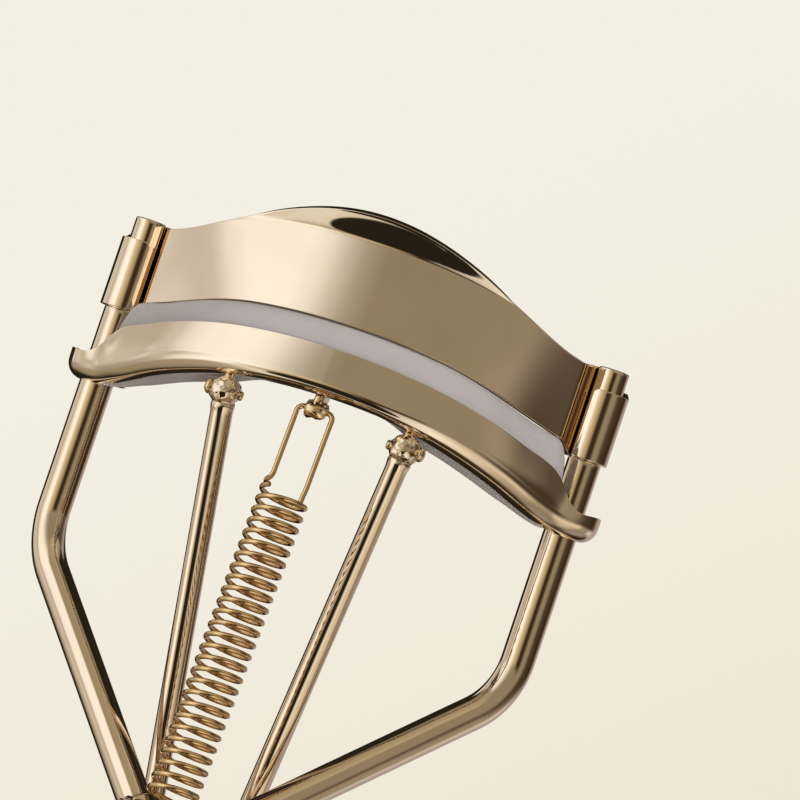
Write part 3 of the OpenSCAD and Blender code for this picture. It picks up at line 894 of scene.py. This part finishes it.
HIGH_WALL = [(-180, BLACK), (-140, BLACK), (-132, (0.9, 0.88, 0.85)), (-124, (0.52, 0.48, 0.42)),
             (-105, (0.5, 0.46, 0.4)), (-98, (0.63, 0.6, 0.55)), (-94, (0.65, 0.62, 0.59)),
             (-87, (0.9, 0.885, 0.875)), (-77, (1.04, 1.03, 1.02)), (-54, (1.04, 1.03, 1.02)),
             (-44, (0.92, 0.9, 0.87)), (-34, (0.63, 0.6, 0.55)), (-24, (0.4, 0.365, 0.305)), (-13, OLIVE),
             (52, OLIVE), (60, (0.33, 0.28, 0.21)), (66, (0.31, 0.265, 0.205)), (70, (0.26, 0.215, 0.16)),
             (74, (0.2, 0.165, 0.125)), (78, (0.14, 0.11, 0.085)), (84, (0.1, 0.075, 0.05)),
             (104, (0.09, 0.07, 0.05)), (122, (0.3, 0.26, 0.25)), (134, (0.4, 0.36, 0.35)), (146, BLACK),
             (180, BLACK)]
UNDER_WALL = [(-180, BLACK), (-142, BLACK), (-130, (0.3, 0.26, 0.2)), (-104, (0.4, 0.36, 0.3)),
              (-90, (0.55, 0.52, 0.46)), (-80, (0.92, 0.9, 0.86)), (-72, WHITE), (-60, WHITE),
              (-48, (0.6, 0.53, 0.42)), (-35, (0.3, 0.24, 0.15)), (-12, (0.07, 0.045, 0.02)),
              (2, (0.05, 0.03, 0.015)), (12, (0.6, 0.55, 0.5)), (24, (0.9, 0.86, 0.78)),
              (40, (0.7, 0.6, 0.46)), (54, (0.74, 0.64, 0.5)), (66, (0.7, 0.6, 0.46)),
              (72, (0.4, 0.33, 0.25)), (92, (0.3, 0.25, 0.2)), (112, (0.7, 0.65, 0.64)),
              (135, (0.45, 0.4, 0.4)), (180, (0.3, 0.27, 0.27))]
TOP_WALL = [(-180, BLACK), (-118, BLACK), (-92, (0.3, 0.25, 0.16)), (0, (0.42, 0.35, 0.24)),
            (50, (0.62, 0.54, 0.42)), (96, (0.3, 0.25, 0.16)), (118, BLACK), (180, BLACK)]
LOW_WALL = [(-180, BLACK), (-140, BLACK), (-118, (0.3, 0.25, 0.17)), (-72, (0.42, 0.36, 0.27)),
            (-52, (0.8, 0.76, 0.68)), (-30, (0.62, 0.57, 0.49)), (10, (0.7, 0.66, 0.6)),
            (30, (1.0, 0.96, 0.86)), (46, (0.75, 0.67, 0.55)), (66, (0.45, 0.38, 0.29)),
            (75, (0.28, 0.23, 0.18)), (110, (0.34, 0.3, 0.27)), (140, DUSK), (180, BLACK)]
# Where a wall takes over from the level one, by the sine of the elevation: (from, to, wall)
WALLS = [(0.08, 0.2, HIGH_WALL), (-0.04, -0.36, UNDER_WALL), (-0.42, -0.6, LOW_WALL), (0.66, 0.78, TOP_WALL)]
NADIR = (-0.86, -0.95)
# The photographer's lens, a dark disc in the studio
LENS_BEARING, LENS_ELEVATION = math.radians(-16), math.radians(-38.5)
LENS_RADIUS, LENS_BLUR = math.radians(22.3), 0.015
# The backdrop's colours and, in front view, how steeply and where the one turns into the other
PALE, WARM = (0.905, 0.855, 0.765), (0.85, 0.785, 0.64)
BACKDROP_FALL, BACKDROP_FROM, BACKDROP_TO = -1.1, -0.11, 0.13

# Lights in metres and watts: (name, place, height aimed at, size, power, colour)
LIGHTS = [("key", (-0.5, -0.45, 0.55), 0.08, 0.35, 3.2, (1.0, 0.97, 0.94)),
          ("fill", (0.6, -0.5, 0.35), 0.06, 0.5, 4.5, (1.0, 0.97, 0.97)),
          ("bounce", (0.2, -0.38, 0.03), 0.07, 0.09, 0.8, (1.0, 0.97, 0.99)),
          ("back", (-0.3, 0.55, 0.3), 0.07, 0.4, 2.2, (1.0, 0.97, 0.94))]
FLOOR_GAP, FLOOR_HALF = 0.0005, 0.75


def build_camera():
    back = Vector((math.sin(YAW) * math.cos(PITCH), -math.cos(YAW) * math.cos(PITCH), -math.sin(PITCH)))
    right = (-back).cross(Vector((0, 0, 1))).normalized()
    up = right.cross(-back)
    across = right * math.cos(ROLL) + up * math.sin(ROLL)
    upward = up * math.cos(ROLL) - right * math.sin(ROLL)
    data = bpy.data.cameras.new("camera")
    data.lens = LENS
    data.clip_start, data.clip_end = 0.01, 20
    camera = bpy.data.objects.new("camera", data)
    bpy.context.scene.collection.objects.link(camera)
    camera.matrix_world = Matrix((across, upward, back)).transposed().to_4x4()
    camera.location = Vector(AIM) * MM + back * DISTANCE * MM
    bpy.context.scene.camera = camera


def math_node(tree, operation, *values):
    """A Math node's result; each value is a number or the output of another node."""
    n = add_node(tree, "ShaderNodeMath", operation=operation)
    for socket, value in zip(n.inputs, values):
        if isinstance(value, (int, float)):
            socket.default_value = value
        else:
            tree.links.new(value, socket)
    return n.outputs[0]


def dot_node(tree, vector, direction):
    n = add_node(tree, "ShaderNodeVectorMath", operation="DOT_PRODUCT")
    n.inputs[1].default_value = direction
    tree.links.new(vector, n.inputs[0])
    return n.outputs["Value"]


def step_node(tree, value, low, high):
    """A smooth step from 0 at low to 1 at high."""
    n = add_node(tree, "ShaderNodeMapRange", interpolation_type="SMOOTHSTEP")
    n.inputs["From Min"].default_value = low
    n.inputs["From Max"].default_value = high
    tree.links.new(value, n.inputs["Value"])
    return n.outputs["Result"]


def mix_node(tree, factor, a, b):
    """A mix of two colours, each a tuple or the output of another node."""
    n = add_node(tree, "ShaderNodeMix", data_type="RGBA")
    tree.links.new(factor, n.inputs["Factor"])
    for value, socket in zip((a, b), [s for s in n.inputs if s.type == "RGBA"]):
        if isinstance(value, tuple):
            socket.default_value = (*value, 1)
        else:
            tree.links.new(value, socket)
    return next(s for s in n.outputs if s.type == "RGBA")


def wall_ramp(tree, bearing, stops):
    ramp = add_node(tree, "ShaderNodeValToRGB")
    set_stops(ramp.color_ramp, [((degrees + 180) / 360, colour) for degrees, colour in stops])
    tree.links.new(bearing, ramp.inputs["Fac"])
    return ramp.outputs["Color"]


def studio_colour(tree, view):
    """What the metal reflects in the direction of view, a unit vector turned so that the camera is at -Y."""
    split = add_node(tree, "ShaderNodeSeparateXYZ")
    tree.links.new(view, split.inputs["Vector"])
    x, y, z = split.outputs
    bearing = math_node(tree, "ARCTAN2", x, math_node(tree, "MULTIPLY", y, -1.0))
    bearing = math_node(tree, "MULTIPLY_ADD", bearing, 0.5 / math.pi, 0.5)
    colour = wall_ramp(tree, bearing, LEVEL_WALL)
    for low, high, wall in WALLS:
        colour = mix_node(tree, step_node(tree, z, low, high), colour, wall_ramp(tree, bearing, wall))
    colour = mix_node(tree, step_node(tree, z, *NADIR), colour, DUSK)
    b, e = LENS_BEARING, LENS_ELEVATION
    toward = dot_node(tree, view, (math.sin(b) * math.cos(e), -math.cos(b) * math.cos(e), math.sin(e)))
    outer, inner = math.cos(LENS_RADIUS + LENS_BLUR), math.cos(LENS_RADIUS - LENS_BLUR)
    return mix_node(tree, step_node(tree, toward, outer, inner), colour, BLACK)


def build_world():
    """The studio that the metal reflects, and a pale backdrop where the camera looks past the object."""
    world = bpy.data.worlds.new("studio")
    bpy.context.scene.world = world
    world.use_nodes = True
    tree = world.node_tree
    view = add_node(tree, "ShaderNodeTexCoord").outputs["Generated"]
    turn = add_node(tree, "ShaderNodeVectorRotate", rotation_type="Z_AXIS")
    turn.inputs["Angle"].default_value = -YAW
    tree.links.new(view, turn.inputs["Vector"])
    studio = studio_colour(tree, turn.outputs["Vector"])
    fall = dot_node(tree, view, (math.cos(YAW), math.sin(YAW), BACKDROP_FALL))
    backdrop = mix_node(tree, step_node(tree, fall, BACKDROP_FROM, BACKDROP_TO), PALE, WARM)
    seen = add_node(tree, "ShaderNodeLightPath").outputs["Is Camera Ray"]
    tree.links.new(mix_node(tree, seen, studio, backdrop), tree.nodes["Background"].inputs["Color"])


def area_light(name, place, aim_z, size, power, colour):
    """A round lamp that the metal doesn't mirror."""
    data = bpy.data.lights.new(name, "AREA")
    data.shape = "DISK"
    data.size = size
    data.energy = power
    data.color = colour
    light = bpy.data.objects.new(name, data)
    bpy.context.scene.collection.objects.link(light)
    light.location = place
    light.visible_glossy = False
    light.rotation_mode = "QUATERNION"
    light.rotation_quaternion = (Vector((0, -0.006, aim_z)) - Vector(place)).to_track_quat("-Z", "Y")


def build_floor():
    drop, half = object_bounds()[0].z - FLOOR_GAP, FLOOR_HALF
    corners = [(-half, -half, drop), (half, -half, drop), (half, half, drop), (-half, half, drop)]
    mesh = bpy.data.meshes.new("floor")
    mesh.from_pydata(corners, [], [(0, 1, 2, 3)])
    floor = bpy.data.objects.new("floor", mesh)
    bpy.context.scene.collection.objects.link(floor)
    mat, tree, shader = node_material("pale_floor")
    shader.inputs["Roughness"].default_value = 0.7
    tint = noise_ramp(tree, 6, 2, [(0.3, (0.80, 0.745, 0.67)), (0.7, (0.84, 0.785, 0.71))])
    tree.links.new(tint, shader.inputs["Base Color"])
    mesh.materials.append(mat)
    floor.visible_glossy = False


build_upper_jaw()
build_lower_jaw()
build_rail()
build_pad()
build_rods()
build_link(1, "right_drawbar_bar", "right_link", "right_drawbar", 3.1)
build_link(-1, "left_drawbar_bar", "left_link", "left_drawbar", 7.7)
build_lugs()
build_spring()
build_handles()
build_yoke()
for node in ("pivot_washer", "cross_pin_cap"):
    dress(node, GOLD, 0.12)
for node in ("handle_rivet", "pivot_pin", "spring_anchor", "cross_pin"):
    dress(node, ROD_GOLD, 0.1)
build_camera()
build_world()
for light in LIGHTS:
    area_light(*light)
build_floor()
bpy.context.scene.view_settings.view_transform = "Standard"
